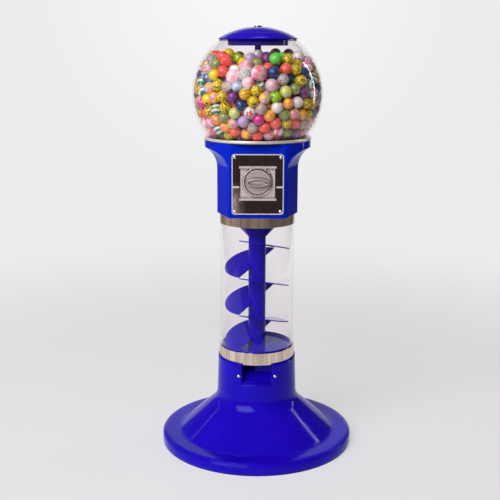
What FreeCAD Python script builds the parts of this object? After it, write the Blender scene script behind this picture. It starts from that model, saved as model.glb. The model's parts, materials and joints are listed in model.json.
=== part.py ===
import FreeCAD, Part
import math
import os
import re
import Sketcher
from FreeCAD import Placement, Rotation, Vector

# Spiral gumball machine: +z up, the front faces -y, the origin is the middle of the base on the ground.
# Driving sizes, in millimetres and degrees.
SIZES = {
    # Fits shared by all pieces
    "seat_gap": 0.3,
    "running_gap": 0.08,
    # Base
    "base_radius": 233.5,
    "flange_height": 28,
    "base_wall": 4,
    "rim_round": 9,
    "cone_low_radius": 190,
    "cone_angle": 42,
    "flare_radius": 40,
    "collar_low_radius": 97,
    "collar_top": 219,
    "lip_wall": 1.7,
    "lip_height": 3,
    "ledge_thickness": 4,
    "ledge_width": 16,
    "ballast_thickness": 5,
    # Outlet
    "outlet_width": 70,
    "outlet_level": 170,
    "tray_lip": 4,
    "tray_lip_width": 4,
    "tray_depth": 36,
    "tray_rise": 18,
    "tray_wall": 3,
    "tray_ear": 14,
    "tray_height": 38,
    "screw_radius": 2,
    "screw_head_radius": 4.2,
    "screw_head_height": 2.4,
    "screw_length": 14,
    "outlet_screw_spacing": 86,
    "outlet_screw_level": 187,
    # Ball run under the spiral
    "ball_hole_radius": 16,
    "exit_side": 22,
    "exit_back": 44,
    "chute_width": 33,
    "chute_height": 19,
    "chute_wall": 1.5,
    "chute_slope": 12,
    # Tube and bands
    "tube_radius": 88.5,
    "tube_wall": 3,
    "tube_length": 359,
    "lower_band_wall": 3.2,
    "lower_band_height": 29,
    "upper_band_wall": 1.7,
    "upper_band_height": 27,
    # Spiral
    "floor_rise": 26,
    "floor_thickness": 3,
    "floor_lip": 6,
    "floor_wall": 2.5,
    "column_radius": 21,
    "column_wall": 6,
    "column_flare_radius": 45.5,
    "column_flare_height": 26,
    "column_flare_drop": 38,
    "ramp_radius": 78,
    "ramp_thickness": 2.5,
    "ramp_foot": 3,
    "half_pitch": 45.5,
    "ramp_step": 3,
    "slot_depth": 3,
    "slot_gap": 0.1,
    "spiral_angle": 57,
    # Head
    "head_radius": 125,
    "head_height": 169,
    "head_wall": 4,
    "head_side": 94.5,
    "head_facet": 98.6,
    "facet_angle": 20,
    "head_front": 108,
    "cove_radius": 54,
    "cove_drop": 62,
    "drop_angle": 30,
    # Face plate and coin mechanism
    "plate_width": 118,
    "plate_height": 138,
    "plate_rise": 9,
    "plate_thickness": 1.6,
    "plate_round": 7,
    "plate_rim_width": 2.4,
    "plate_rim_depth": 1,
    "plate_screw_inset": 7,
    "rib_height": 4,
    "rib_depth": 1.2,
    "rib_drop": 13,
    "knob_height": 85,
    "mech_width": 78,
    "mech_above": 33,
    "mech_below": 40,
    "mech_thickness": 6,
    "rail_width": 84,
    "rail_height": 4.5,
    "rail_depth": 4,
    "dial_radius": 31,
    "dial_wall": 2.5,
    "dial_depth": 2.5,
    "hood_width": 36,
    "hood_height": 9,
    "hood_depth": 6,
    "coin_slot_width": 28,
    "coin_slot_height": 3,
    "window_width": 4,
    "window_angle": 56,
    "window_start": 36,
    "window_depth": 3,
    "mech_body_width": 68,
    "mech_body_above": 32,
    "mech_body_below": 34,
    "mech_body_depth": 18,
    "mech_body_wall": 2.5,
    "coin_drop_width": 36,
    "knob_radius": 28,
    "knob_thickness": 4,
    "grip_length": 48,
    "grip_width": 18,
    "grip_end": 7,
    "grip_depth": 12,
    "grip_ridge": 2.4,
    "grip_hollow": 3,
    "shaft_radius": 5,
    "shaft_length": 44,
    "coin_wheel_radius": 24,
    "coin_wheel_thickness": 4,
    "coin_wheel_place": 5,
    "coin_notch_width": 4,
    "coin_notch_depth": 15,
    # Ball drive
    "pinion_teeth": 4,
    "pinion_hub": 8.5,
    "pinion_tip": 15.8,
    "pinion_length": 8,
    "pinion_tooth": 5,
    "crown_teeth": 24,
    "crown_radius": 80.5,
    "crown_length": 9,
    "crown_tooth": 5,
    "crown_height": 5.5,
    "wheel_radius": 86,
    "wheel_thickness": 26,
    "wheel_hub": 20,
    "wheel_hub_height": 6.2,
    "pocket_count": 6,
    "pocket_circle": 60,
    "hopper_floor_rise": 10,
    "hopper_floor": 3.5,
    "hopper_wall": 2.5,
    "hopper_sheet": 2,
    "well_gap": 0.5,
    "funnel_radius": 100,
    "cover_radius": 25,
    "cover_thickness": 2,
    "cover_gap": 0.8,
    "drop_tube_wall": 1.5,
    # Coin tray
    "coin_tray_left": 60,
    "coin_tray_right": 28,
    "coin_tray_front": 86,
    "coin_tray_back": 14,
    "coin_tray_height": 28,
    "coin_tray_wall": 1.5,
    # Globe, ring and lid
    "ring_height": 6,
    "ring_overhang": 1,
    "ring_width": 9.7,
    "ring_round": 2,
    "globe_radius": 152.5,
    "globe_wall": 3,
    "globe_neck": 4,
    "globe_top_mouth": 72.5,
    "lid_radius": 92,
    "lid_height": 26.5,
    "lid_edge": 2,
    "lid_rim": 4,
    "lid_wall": 2.5,
    "lid_neck_gap": 2.5,
    "lid_neck_wall": 3,
    "lid_neck_depth": 14,
    "lock_radius": 8,
    "lock_flange_radius": 9.5,
    "lock_flange_height": 2.5,
    "lock_length": 30,
    "lock_socket": 9,
    "key_slot_length": 9,
    "key_slot_width": 2.2,
    "key_slot_depth": 2,
    # Tie rod
    "rod_radius": 5,
    "sleeve_wall": 2.2,
    "sleeve_drop": 12,
    "nut_radius": 9,
    "nut_height": 8,
    "washer_radius": 12,
    "washer_thickness": 2,
    # Balls
    "ball_radius": 13.5,
    "ball_gap": 0.3,
    "ball_top_drop": 42,
}

# Places worked out from the sizes above
TUBE_IN = "(tube_radius - tube_wall)"
LOWER_BAND = "(tube_radius + seat_gap + lower_band_wall)"
LIP_IN = f"({LOWER_BAND} + seat_gap)"
COLLAR = f"({LIP_IN} + lip_wall)"
SEAT = "(collar_top - lip_height)"
FLOOR = f"({SEAT} + floor_rise)"
HEAD = f"({SEAT} + tube_length)"
HEAD_TOP = f"({HEAD} + head_height)"
KNOB = f"({HEAD} + knob_height)"
HOPPER = f"({KNOB} + hopper_floor_rise)"
WHEEL = f"({HOPPER} + seat_gap + wheel_hub_height)"
WHEEL_TOP = f"({WHEEL} + wheel_thickness)"
WELL = "(wheel_radius + well_gap)"
RING = f"({HEAD_TOP} + hopper_sheet)"
RING_OUT = "(head_radius + ring_overhang)"
RING_IN = f"({RING_OUT} - ring_width)"
GLOBE_MOUTH = f"({RING_IN} - seat_gap)"
GLOBE_EDGE = f"({RING} + globe_neck)"
GLOBE_MID = f"({GLOBE_EDGE} + sqrt(globe_radius ^ 2 - {GLOBE_MOUTH} ^ 2))"
GLOBE_IN = "(globe_radius - globe_wall)"
LID_RIM_IN = "(lid_radius - lid_rim)"
LID_RIM = f"({GLOBE_MID} + sqrt(globe_radius ^ 2 - {LID_RIM_IN} ^ 2) + seat_gap)"
LID_ARC = "((lid_radius ^ 2 + lid_height ^ 2) / (2 * lid_height))"
LID_TOP = f"({LID_RIM} + lid_edge + lid_height)"
LID_MID = f"({LID_TOP} - {LID_ARC})"
LID_NECK = "(globe_top_mouth - lid_neck_gap)"
LOCK_LOW = f"({LID_TOP} + lock_flange_height - lock_length)"
ROD_HOLE = "(rod_radius + seat_gap)"
PLATE_FRONT = "(head_front + plate_thickness)"
MECH_FRONT = f"({PLATE_FRONT} + mech_thickness)"
RAMP_DROP = "(half_pitch - ramp_step)"
RAMP_TILT = f"atan({RAMP_DROP} / (2 * ramp_radius))"
RAMP_COUNT = 6
CROSS = Vector(1, 0, 0)
UP = Vector(0, 0, 1)
WORD = re.compile(r"[a-z_]+")

doc = FreeCAD.newDocument("gumball_machine")
sheet = doc.addObject("Spreadsheet::Sheet", "Sizes")
for row, (alias, size) in enumerate(SIZES.items(), start=1):
    sheet.set(f"A{row}", alias)
    sheet.set(f"B{row}", str(size))
    sheet.setAlias(f"B{row}", alias)
doc.recompute()
nodes = []


def bound(text):
    """Turn size names into references to the sheet."""
    return WORD.sub(lambda word: "Sizes." + word.group() if word.group() in SIZES else word.group(), text)


def number(text):
    """Value of an expression, for first positions and counts."""
    return float(sheet.evalExpression(text))


def put(target, name, text):
    target.setExpression(name, bound(text))


def place(target, across="0", back="0", up="0"):
    put(target, "Placement.Base.x", across)
    put(target, "Placement.Base.y", back)
    put(target, "Placement.Base.z", up)
    return target


def swing(target, axis, angle):
    """Turn a shape about an axis through its own origin."""
    target.Placement = Placement(Vector(), Rotation(axis, 1))
    put(target, "Placement.Rotation.Angle", angle)
    return target


def node(label, shape):
    """Name a finished piece of the machine."""
    shape.Label = label
    nodes.append(shape)
    return shape


def arc_middle(start, end, radius, side):
    """Middle of an arc that bulges to the left (1) or right (-1) of the way from start to end."""
    half = (end - start) * 0.5
    depth = radius - math.sqrt(max(radius ** 2 - half.Length ** 2, 0))
    across = Vector(-half.y, half.x, 0).normalize()
    return start + half + across * depth * side


def outline(sketch, corners):
    """Closed outline; a corner is (x, y), or (x, y, radius, side) where an arc runs to the next corner."""
    spots = [Vector(number(corner[0]), number(corner[1]), 0) for corner in corners]
    ends = []
    for index, corner in enumerate(corners):
        start = spots[index]
        end = spots[(index + 1) % len(spots)]
        if len(corner) == 2:
            edge = sketch.addGeometry(Part.LineSegment(start, end), False)
            ends.append((edge, 1, 2))
            continue
        middle = arc_middle(start, end, number(corner[2]), corner[3])
        edge = sketch.addGeometry(Part.ArcOfCircle(start, middle, end), False)
        forward = (sketch.getPoint(edge, 1) - start).Length < (sketch.getPoint(edge, 2) - start).Length
        ends.append((edge, 1, 2) if forward else (edge, 2, 1))
    for index, (edge, first, last) in enumerate(ends):
        following = ends[(index + 1) % len(ends)]
        sketch.addConstraint(Sketcher.Constraint("Coincident", edge, last, following[0], following[1]))
    for (edge, first, last), corner, spot in zip(ends, corners, spots):
        for kind, text, value in (("DistanceX", corner[0], spot.x), ("DistanceY", corner[1], spot.y)):
            rule = sketch.addConstraint(Sketcher.Constraint(kind, -1, 1, edge, first, value))
            put(sketch, f"Constraints[{rule}]", text)
        if len(corner) > 2:
            rule = sketch.addConstraint(Sketcher.Constraint("Radius", edge, number(corner[2])))
            put(sketch, f"Constraints[{rule}]", corner[2])


def plane_of(body, role):
    return next(feature for feature in body.Origin.OriginFeatures if feature.Role == role)


def sketch_on(body, role, lift):
    sketch = body.newObject("Sketcher::SketchObject", body.Name + "_outline")
    sketch.AttachmentSupport = [(plane_of(body, role), "")]
    sketch.MapMode = "FlatFace"
    put(sketch, "AttachmentOffset.Base.z", lift)
    return sketch


def turned(name, corners):
    """Body of revolution about z from (radius, height) corners."""
    body = doc.addObject("PartDesign::Body", name)
    sketch = sketch_on(body, "XZ_Plane", "0")
    outline(sketch, corners)
    turn = body.newObject("PartDesign::Revolution", name + "_turn")
    turn.Profile = sketch
    turn.ReferenceAxis = (sketch, ["V_Axis"])
    turn.Angle = 360
    sketch.Visibility = False
    return body


def raised(name, role, corners, length, lift="0"):
    """Body padded from an outline on an origin plane; the front plane pads toward -y."""
    body = doc.addObject("PartDesign::Body", name)
    sketch = sketch_on(body, role, lift)
    outline(sketch, corners)
    pad = body.newObject("PartDesign::Pad", name + "_pad")
    pad.Profile = sketch
    put(pad, "Length", length)
    sketch.Visibility = False
    return body


def round_outline(left, right, low, high, radius):
    """Rectangle with rounded corners, counter-clockwise."""
    return [
        (f"{left} + {radius}", low), (f"{right} - {radius}", low, radius, -1),
        (right, f"{low} + {radius}"), (right, f"{high} - {radius}", radius, -1),
        (f"{right} - {radius}", high), (f"{left} + {radius}", high, radius, -1),
        (left, f"{high} - {radius}"), (left, f"{low} + {radius}", radius, -1),
    ]


def drum(name, radius, height, across="0", back="0", up="0"):
    """Upright cylinder."""
    shape = doc.addObject("Part::Cylinder", name)
    put(shape, "Radius", radius)
    put(shape, "Height", height)
    return place(shape, across, back, up)


def spindle(name, radius, length, front, across="0", up="0"):
    """Cylinder along y that ends at the front distance and runs back from there."""
    shape = doc.addObject("Part::Cylinder", name)
    put(shape, "Radius", radius)
    put(shape, "Height", length)
    swing(shape, CROSS, "-90")
    return place(shape, across, f"-({front})", up)


def block(name, left, right, front, back, low, high):
    """Box between six faces; front and back are y values."""
    shape = doc.addObject("Part::Box", name)
    put(shape, "Length", f"({right}) - ({left})")
    put(shape, "Width", f"({back}) - ({front})")
    put(shape, "Height", f"({high}) - ({low})")
    return place(shape, left, front, low)


def joined(name, shapes):
    whole = doc.addObject("Part::MultiFuse", name)
    whole.Shapes = shapes
    return whole


def shared(name, shapes):
    whole = doc.addObject("Part::MultiCommon", name)
    whole.Shapes = shapes
    return whole


def cut(name, base, tools):
    whole = doc.addObject("Part::Cut", name)
    whole.Base = base
    whole.Tool = tools[0] if len(tools) == 1 else joined(name + "_tools", tools)
    return whole


def group(name, shapes):
    """Several equal loose pieces kept in one file."""
    whole = doc.addObject("Part::Compound", name)
    whole.Links = shapes
    return whole


def hexagon(radius):
    """Corners of a hexagon from its corner radius."""
    return [
        (radius, "0"), (f"{radius} / 2", f"{radius} * sqrt(3) / 2"),
        (f"-{radius} / 2", f"{radius} * sqrt(3) / 2"), (f"-{radius}", "0"),
        (f"-{radius} / 2", f"-{radius} * sqrt(3) / 2"), (f"{radius} / 2", f"-{radius} * sqrt(3) / 2"),
    ]


# Base: flanged cone that flares out of a collar, a ledge for the tube and an opening for the outlet
CONE_TOP = "(flange_height + (cone_low_radius - collar_low_radius) * tan(cone_angle))"
FLARE_TOP = f"({CONE_TOP} + flare_radius * tan((90 - cone_angle) / 2))"
FLARE_LOW = f"({FLARE_TOP} - flare_radius * cos(cone_angle))"
FLARE_OUT = "(collar_low_radius + flare_radius * (1 - sin(cone_angle)))"
base_form = turned("base_form", [
    ("base_radius - base_wall", "0"),
    ("base_radius", "0"),
    ("base_radius", "flange_height - rim_round", "rim_round", -1),
    ("base_radius - rim_round", "flange_height"),
    ("cone_low_radius", "flange_height"),
    (FLARE_OUT, FLARE_LOW, "flare_radius", 1),
    ("collar_low_radius", FLARE_TOP),
    (COLLAR, "collar_top"),
    (LIP_IN, "collar_top"),
    (LIP_IN, SEAT),
    (f"{LIP_IN} - ledge_width", SEAT),
    (f"{LIP_IN} - ledge_width", f"{SEAT} - ledge_thickness"),
    (f"{COLLAR} - base_wall", f"{SEAT} - ledge_thickness"),
    ("collar_low_radius - base_wall", FLARE_TOP, "flare_radius + base_wall", -1),
    (f"{FLARE_OUT} - base_wall * sin(cone_angle)", f"{FLARE_LOW} - base_wall * cos(cone_angle)"),
    ("cone_low_radius - base_wall * tan(cone_angle / 2)", "flange_height - base_wall"),
    ("base_radius - base_wall", "flange_height - base_wall"),
])
TRAY_OUT = f"({COLLAR} - base_wall - seat_gap)"
TRAY_BACK = f"({TRAY_OUT} - tray_depth)"
OUTLET_BACK = f"sqrt(({COLLAR} - base_wall) ^ 2 - (outlet_width / 2) ^ 2)"
outlet_hole = block("outlet_hole", "-outlet_width / 2", "outlet_width / 2", "-base_radius",
                    f"-{OUTLET_BACK} + seat_gap", "outlet_level", "base_radius")


def outlet_bores(name, radius):
    """Two bores along y for the outlet screws."""
    return [
        spindle(f"{name}_{side}", radius, "tray_depth + base_wall", "collar_low_radius",
                f"{sign}outlet_screw_spacing / 2", "outlet_screw_level")
        for side, sign in (("left", "-"), ("right", ""))
    ]


base_bores = outlet_bores("base_bore", "screw_radius + seat_gap")
node("base_shell", cut("base_shell", base_form, [outlet_hole] + base_bores))

# Ballast plate, held under the flange by the tie rod
BALLAST_LOW = "(flange_height - base_wall - ballast_thickness)"
node("ballast_plate", turned("ballast_plate", [
    (ROD_HOLE, BALLAST_LOW),
    ("base_radius - base_wall - seat_gap", BALLAST_LOW),
    ("base_radius - base_wall - seat_gap", f"{BALLAST_LOW} + ballast_thickness"),
    (ROD_HOLE, f"{BALLAST_LOW} + ballast_thickness"),
]))

# Outlet tray: a pocket with a sloped floor and a front lip, screwed to the inside of the collar
TRAY_FLOOR = "(outlet_level + tray_lip)"
TRAY_HALF = "(outlet_width / 2 + tray_wall + tray_ear)"
tray_block = block("tray_block", f"-{TRAY_HALF}", TRAY_HALF, f"-{TRAY_OUT}", f"-{TRAY_BACK} + tray_wall",
                   "outlet_level - tray_wall", "outlet_level + tray_height")
tray_round = drum("tray_round", TRAY_OUT, "collar_top")
tray_hollow = raised("tray_hollow", "YZ_Plane", [
    ("-base_radius", TRAY_FLOOR),
    (f"-{TRAY_OUT} + tray_lip_width", TRAY_FLOOR),
    (f"-{TRAY_OUT} + tray_lip_width", "outlet_level"),
    (f"-{TRAY_BACK}", "outlet_level + tray_rise"),
    (f"-{TRAY_BACK}", "collar_top"),
    ("-base_radius", "collar_top"),
], "outlet_width - 2 * seat_gap", "-outlet_width / 2 + seat_gap")
CHUTE_HALF = "(chute_width / 2 + seat_gap)"
chute_mouth = block("chute_mouth", f"-exit_side - {CHUTE_HALF}", f"-exit_side + {CHUTE_HALF}",
                    f"-{TRAY_BACK} - chute_height * sin(chute_slope) - seat_gap", "0",
                    "outlet_level + tray_rise - chute_wall - seat_gap", "collar_top")
tray_bores = outlet_bores("tray_bore", "screw_radius + seat_gap")
tray_form = shared("tray_form", [tray_block, tray_round])
node("outlet_tray", cut("outlet_tray", tray_form, [tray_hollow, chute_mouth] + tray_bores))


SCREW_DOME = "((screw_head_radius ^ 2 + screw_head_height ^ 2) / (2 * screw_head_height))"


def screw(name, across, front, up):
    """Round-headed screw along y; front is the distance of the surface under its head."""
    body = turned(name, [
        ("0", "-screw_length"),
        ("screw_radius", "-screw_length"),
        ("screw_radius", "0"),
        ("screw_head_radius", "0", SCREW_DOME, -1),
        ("0", "screw_head_height"),
    ])
    swing(body, CROSS, "90")
    return place(body, across, f"-({front})", up)


COLLAR_SLOPE = f"((collar_low_radius - {COLLAR}) / (collar_top - {FLARE_TOP}))"
SCREW_RADIUS = f"({COLLAR} + (collar_top - outlet_screw_level) * {COLLAR_SLOPE})"
SCREW_FRONT = f"sqrt({SCREW_RADIUS} ^ 2 - (outlet_screw_spacing / 2 - screw_head_radius) ^ 2)"
node("outlet_screws", group("outlet_screws", [
    screw("outlet_screw_left", "-outlet_screw_spacing / 2", SCREW_FRONT, "outlet_screw_level"),
    screw("outlet_screw_right", "outlet_screw_spacing / 2", SCREW_FRONT, "outlet_screw_level"),
]))

# Chute from the hole in the spiral floor down to the tray
CHUTE_START = "(-(exit_back + ball_hole_radius) / cos(chute_slope))"
CHUTE_LENGTH = f"(({TRAY_BACK} + exit_back + ball_hole_radius) / cos(chute_slope))"
chute = raised("outlet_chute", "XZ_Plane", [
    ("-chute_width / 2", "0"),
    ("chute_width / 2", "0"),
    ("chute_width / 2", "chute_height"),
    ("chute_width / 2 - chute_wall", "chute_height"),
    ("chute_width / 2 - chute_wall", "chute_wall"),
    ("-chute_width / 2 + chute_wall", "chute_wall"),
    ("-chute_width / 2 + chute_wall", "chute_height"),
    ("-chute_width / 2", "chute_height"),
], CHUTE_LENGTH, CHUTE_START)
swing(chute, CROSS, "chute_slope")
place(chute, "-exit_side", "0", f"outlet_level + tray_rise + {TRAY_BACK} * tan(chute_slope) - chute_wall")
node("outlet_chute", chute)

# Steel bands and the clear tube between base and head
BAND_IN = "(tube_radius + seat_gap)"
UPPER_BAND = f"({BAND_IN} + upper_band_wall)"


def ring_corners(inner, outer, low, high):
    return [(inner, low), (outer, low), (outer, high), (inner, high)]


def sleeve(name, inner, outer, low, high):
    """Plain round ring or tube."""
    return turned(name, ring_corners(inner, outer, low, high))


node("lower_band", sleeve("lower_band", BAND_IN, LOWER_BAND, SEAT, f"{SEAT} + lower_band_height"))
node("clear_tube", sleeve("clear_tube", TUBE_IN, "tube_radius", SEAT, HEAD))
node("upper_band", sleeve("upper_band", BAND_IN, UPPER_BAND, f"{HEAD} - upper_band_height", HEAD))

# Spiral floor: a dish on a skirt, with a raised lip and a hole for the ball
FLOOR_OUT = f"({TUBE_IN} - seat_gap)"
floor_form = turned("floor_form", [
    (ROD_HOLE, f"{FLOOR} - floor_thickness"),
    (f"{FLOOR_OUT} - floor_wall", f"{FLOOR} - floor_thickness"),
    (f"{FLOOR_OUT} - floor_wall", SEAT),
    (FLOOR_OUT, SEAT),
    (FLOOR_OUT, f"{FLOOR} + floor_lip"),
    (f"{FLOOR_OUT} - floor_wall", f"{FLOOR} + floor_lip"),
    (f"{FLOOR_OUT} - floor_wall", FLOOR),
    (ROD_HOLE, FLOOR),
])
exit_hole = drum("exit_hole", "ball_hole_radius", "floor_rise", "-exit_side", "exit_back",
                 f"{FLOOR} - floor_rise / 2")
node("spiral_floor", cut("spiral_floor", floor_form, [exit_hole]))


# Six half-disc ramps, each held in a slanted groove of the column
def tilted_disc(name, index, extra):
    """Sloping slab of one ramp; extra thickens it on both faces."""
    toward = "-" if index % 2 else ""
    start = f"({FLOOR} + ramp_foot + {RAMP_COUNT - index} * half_pitch - ramp_step)"
    slab = doc.addObject("Part::Cylinder", name)
    put(slab, "Radius", "2 * ramp_radius")
    put(slab, "Height", f"ramp_thickness + 2 * {extra}")
    turn = math.radians(number("spiral_angle"))
    swing(slab, Vector(-math.sin(turn), math.cos(turn), 0), f"{toward}{RAMP_TILT}")
    return place(slab, up=f"{start} - {RAMP_DROP} / 2 - (ramp_thickness + {extra}) / cos({RAMP_TILT})")


def half_ring(name, index, inner, outer):
    """Upright half ring about the column: front right for even ramps, back left for odd ones."""
    wedge = drum(name + "_outer", outer, HEAD)
    put(wedge, "Angle", "180")
    swing(wedge, UP, "spiral_angle" if index % 2 else "spiral_angle - 180")
    return cut(name, wedge, [drum(name + "_inner", inner, HEAD)])


slots = []
for index in range(RAMP_COUNT):
    label = f"ramp_{index + 1}"
    slab = tilted_disc(label + "_slab", index, "0")
    ring = half_ring(label + "_ring", index, "column_radius - slot_depth + slot_gap", "ramp_radius")
    node(label, shared(label, [slab, ring]))
    slot_slab = tilted_disc(label + "_slot_slab", index, "slot_gap")
    slot_ring = half_ring(label + "_slot_ring", index, "column_radius - slot_depth", "ramp_radius")
    slots.append(shared(label + "_slot", [slot_slab, slot_ring]))

# Column with a flared top, standing on the floor under the head
COLUMN_IN = "(column_radius - column_wall)"
FLARE_LOW = f"({HEAD} - column_flare_drop - column_flare_height)"
column_form = turned("column_form", [
    (COLUMN_IN, FLOOR),
    ("column_radius", FLOOR),
    ("column_radius", FLARE_LOW),
    ("column_flare_radius", f"{FLARE_LOW} + column_flare_height"),
    ("column_flare_radius", HEAD),
    ("column_flare_radius - column_wall", HEAD),
    ("column_flare_radius - column_wall", f"{FLARE_LOW} + column_flare_height + column_wall / 2"),
    (COLUMN_IN, f"{FLARE_LOW} + column_wall / 2"),
])
node("spiral_column", cut("spiral_column", column_form, slots))


# Head housing: a round drum with a flat front, coved side facets, a floor and an open top
FACETS = (("right", "head_side", "0"), ("left", "head_side", "180"),
          ("front_right", "head_facet", "-facet_angle"), ("front_left", "head_facet", "180 + facet_angle"),
          ("back_right", "head_facet", "facet_angle"), ("back_left", "head_facet", "180 - facet_angle"))
COVE = f"({HEAD_TOP} - cove_drop)"


def head_form(name, inset, low, high):
    """Outside of the head, or its inside when inset by the wall."""
    body = drum(name + "_drum", f"head_radius - {inset}", f"({high}) - ({low})", up=low)
    tools = [block(name + "_flat", "-head_radius", "head_radius", "-2 * head_radius",
                   f"-head_front + {inset}", f"{HEAD} - head_wall", f"{RING} + head_wall")]
    radius = f"(cove_radius + {inset})"
    for side, distance, angle in FACETS:
        near = f"({distance} - {inset})"
        tool = raised(f"{name}_{side}", "XZ_Plane", [
            (near, f"{HEAD} - head_wall"),
            (near, COVE, radius, 1),
            (f"{near} + {radius} / 2", f"{COVE} + {radius} * sqrt(3) / 2"),
            (f"{near} + head_radius", f"{COVE} + {radius} * sqrt(3) / 2"),
            (f"{near} + head_radius", f"{HEAD} - head_wall"),
        ], "2 * head_radius", "-head_radius")
        tools.append(swing(tool, UP, angle))
    return cut(name, body, tools)


DROP_ACROSS = "(pocket_circle * cos(drop_angle))"
DROP_BACK = "(-pocket_circle * sin(drop_angle))"
MECH_HALF = "(mech_body_width / 2)"
MECH_LOW = f"({KNOB} - mech_body_below)"
MECH_HIGH = f"({KNOB} + mech_body_above)"


def mech_opening(name):
    """Opening for the mechanism body through the face plate and the head wall."""
    return block(name, f"-{MECH_HALF} - seat_gap", f"{MECH_HALF} + seat_gap", "-2 * head_radius",
                 "-head_front + head_wall * 2", f"{MECH_LOW} - seat_gap", f"{MECH_HIGH} + seat_gap")


PLATE_LOW = f"({HEAD} + plate_rise)"
PLATE_SIDE = "(plate_width / 2 - plate_screw_inset)"
SCREW_LOW = f"({PLATE_LOW} + plate_screw_inset)"
SCREW_HIGH = f"({PLATE_LOW} + plate_height - plate_screw_inset)"
PLATE_CORNERS = (("low_left", "-" + PLATE_SIDE, SCREW_LOW), ("high_left", "-" + PLATE_SIDE, SCREW_HIGH),
                 ("low_right", PLATE_SIDE, SCREW_LOW), ("high_right", PLATE_SIDE, SCREW_HIGH))


def plate_bores(name, radius):
    """Four bores at the corners of the face plate."""
    front = f"{PLATE_FRONT} + screw_length / 2"
    return [spindle(f"{name}_{corner}", radius, "2 * screw_length", front, across, up)
            for corner, across, up in PLATE_CORNERS]


head_outer = head_form("head_outer", "0", HEAD, HEAD_TOP)
head_inner = head_form("head_inner", "head_wall", f"{HEAD} + head_wall", f"{HEAD_TOP} + head_wall")
floor_drop = drum("floor_drop", "ball_hole_radius", "4 * head_wall", DROP_ACROSS, DROP_BACK,
                  f"{HEAD} - head_wall")
floor_rod = drum("floor_rod", ROD_HOLE, "4 * head_wall", up=f"{HEAD} - head_wall")
node("head_housing", cut("head_housing", head_outer, [
    head_inner, floor_drop, floor_rod, mech_opening("head_opening"),
] + plate_bores("head_bore", "screw_radius + seat_gap")))

# Steel face plate with rounded corners, a raised rim and a short rib on each side of the mechanism
def plate_outline(inset):
    """Outline of the plate, or of the inside of its rim."""
    half = f"(plate_width / 2 - {inset})"
    low = f"({PLATE_LOW} + {inset})"
    high = f"({PLATE_LOW} + plate_height - {inset})"
    return round_outline("-" + half, half, low, high, f"(plate_round - {inset})")


plate_sheet = raised("plate_sheet", "XZ_Plane", plate_outline("0"), "plate_thickness", "head_front")
RIM_DEPTH = "(plate_rim_depth + plate_thickness / 2)"
RIM_BACK = f"({PLATE_FRONT} - plate_thickness / 2)"
rim_outer = raised("rim_outer", "XZ_Plane", plate_outline("0"), RIM_DEPTH, RIM_BACK)
rim_inner = raised("rim_inner", "XZ_Plane", plate_outline("plate_rim_width"), f"2 * {RIM_DEPTH}", RIM_BACK)
plate_rim = cut("plate_rim", rim_outer, [rim_inner])
RIB_LOW = f"({KNOB} - rib_drop - rib_height / 2)"
ribs = [
    block("plate_rib_" + side, near, far, f"-{PLATE_FRONT} - rib_depth", f"-{RIM_BACK}", RIB_LOW,
          f"{RIB_LOW} + rib_height")
    for side, near, far in (("left", "-plate_width / 2", "-rail_width / 2"),
                            ("right", "rail_width / 2", "plate_width / 2"))
]
plate_form = joined("plate_form", [plate_sheet, plate_rim] + ribs)
plate_cuts = [mech_opening("plate_opening")] + plate_bores("plate_bore", "screw_radius + seat_gap")
node("face_plate", cut("face_plate", plate_form, plate_cuts))
node("face_screws", group("face_screws", [
    screw("plate_screw_" + corner, across, PLATE_FRONT, up) for corner, across, up in PLATE_CORNERS
]))

# Cast front of the coin mechanism: plate, two rails, dial ring, slot hood and arc window
FRONT_LOW = f"({KNOB} - mech_below)"
FRONT_HIGH = f"({KNOB} + mech_above)"
SHAFT_HOLE = "(shaft_radius + running_gap)"
cast_plate = block("cast_plate", "-mech_width / 2", "mech_width / 2", f"-{MECH_FRONT}", f"-{PLATE_FRONT}",
                   FRONT_LOW, FRONT_HIGH)
rails = [
    block("rail_" + level, "-rail_width / 2", "rail_width / 2", f"-{MECH_FRONT} - rail_depth",
          f"-{PLATE_FRONT}", f"{middle} - rail_height / 2", f"{middle} + rail_height / 2")
    for level, middle in (("low", FRONT_LOW), ("high", FRONT_HIGH))
]
dial = cut("dial", spindle("dial_outer", "dial_radius + dial_wall", "dial_depth + mech_thickness / 2",
                           f"{MECH_FRONT} + dial_depth", up=KNOB),
           [spindle("dial_inner", "dial_radius", "dial_depth", f"{MECH_FRONT} + dial_depth", up=KNOB)])
HOOD_TOP = f"({FRONT_HIGH} - rail_height / 2)"
hood = raised("slot_hood", "XZ_Plane", [
    ("-hood_width / 2 - hood_height / 2", HOOD_TOP + " - hood_height"),
    ("hood_width / 2", HOOD_TOP + " - hood_height"),
    ("hood_width / 2", HOOD_TOP),
    ("-hood_width / 2", HOOD_TOP),
], "hood_depth", MECH_FRONT)
dial_space = spindle("dial_space", "dial_radius", "hood_depth", f"{MECH_FRONT} + hood_depth", up=KNOB)
SLOT_TOP = f"({HOOD_TOP} - coin_slot_height / 2)"
coin_slot = block("coin_slot", "-coin_slot_width / 2", "coin_slot_width / 2",
                  f"-{MECH_FRONT} - 2 * hood_depth", "-head_front",
                  f"{SLOT_TOP} - coin_slot_height", SLOT_TOP)


def on_arc(radius, angle):
    """Point of a circle about the knob, in the front plane."""
    return f"{radius} * cos({angle})", f"{KNOB} + {radius} * sin({angle})"


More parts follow.
